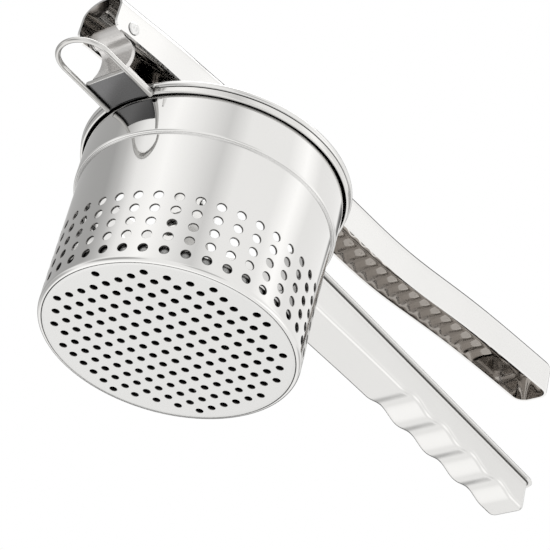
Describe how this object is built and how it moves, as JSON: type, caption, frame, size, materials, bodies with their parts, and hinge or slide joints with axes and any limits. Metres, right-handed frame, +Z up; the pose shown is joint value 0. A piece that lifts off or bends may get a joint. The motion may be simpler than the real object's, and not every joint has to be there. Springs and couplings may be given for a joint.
{
  "type": "potato ricer",
  "caption": "Stainless potato ricer: a perforated basket in a hinged frame with a pot hook, two lever handles, a swinging plunger and interchangeable discs.",
  "frame": {"origin": "centre of the flat underside of the basket", "axes": "+X towards the tips of the handles, +Y along the hinge pin, +Z up through the basket's mouth"},
  "size_m": [0.2834, 0.0972, 0.1275],
  "materials": {
    "polished_steel": "mirror polished stainless steel",
    "base_steel": "satin stainless steel",
    "frame_steel": "polished stainless steel",
    "wire_steel": "polished stainless wire",
    "rivet_steel": "polished, with a peened mark on the heads",
    "handle_steel": "mirror polished stainless steel",
    "disc_steel": "satin stainless steel"
  },
  "bodies": {
    "frame": {"basket_wall": "polished_steel", "basket_base": "base_steel", "frame_ring": "frame_steel", "hinge_bracket": "frame_steel", "pot_hook": "wire_steel", "handle_saddle": "frame_steel", "lower_handle": "handle_steel", "saddle_rivets": "rivet_steel", "fine_disc": "disc_steel", "coarse_disc": "disc_steel", "slotted_disc": "disc_steel"},
    "lever": {"upper_handle": "handle_steel", "plunger_hanger": "frame_steel", "hanger_rivets": "rivet_steel", "hinge_pin": "rivet_steel", "hinge_washers": "rivet_steel", "plunger_pin": "rivet_steel"},
    "plunger": {"plunger_stem": "frame_steel", "plunger_plate": "polished_steel", "stem_rivets": "rivet_steel"}
  },
  "joints": [
    {"name": "handle_hinge", "type": "hinge", "parent": "frame", "child": "lever", "pos_m": [-0.062, 0, 0.086], "axis": [0, -1, 0], "range_deg": [0, 70]},
    {"name": "plunger_pivot", "type": "hinge", "parent": "lever", "child": "plunger", "pos_m": [-0.008, 0, 0.049], "axis": [0, -1, 0], "range_deg": [-84, 0]}
  ],
  "couplings": [
    {"joint": "plunger_pivot", "follows": "handle_hinge", "ratio": -1.2}
  ]
}
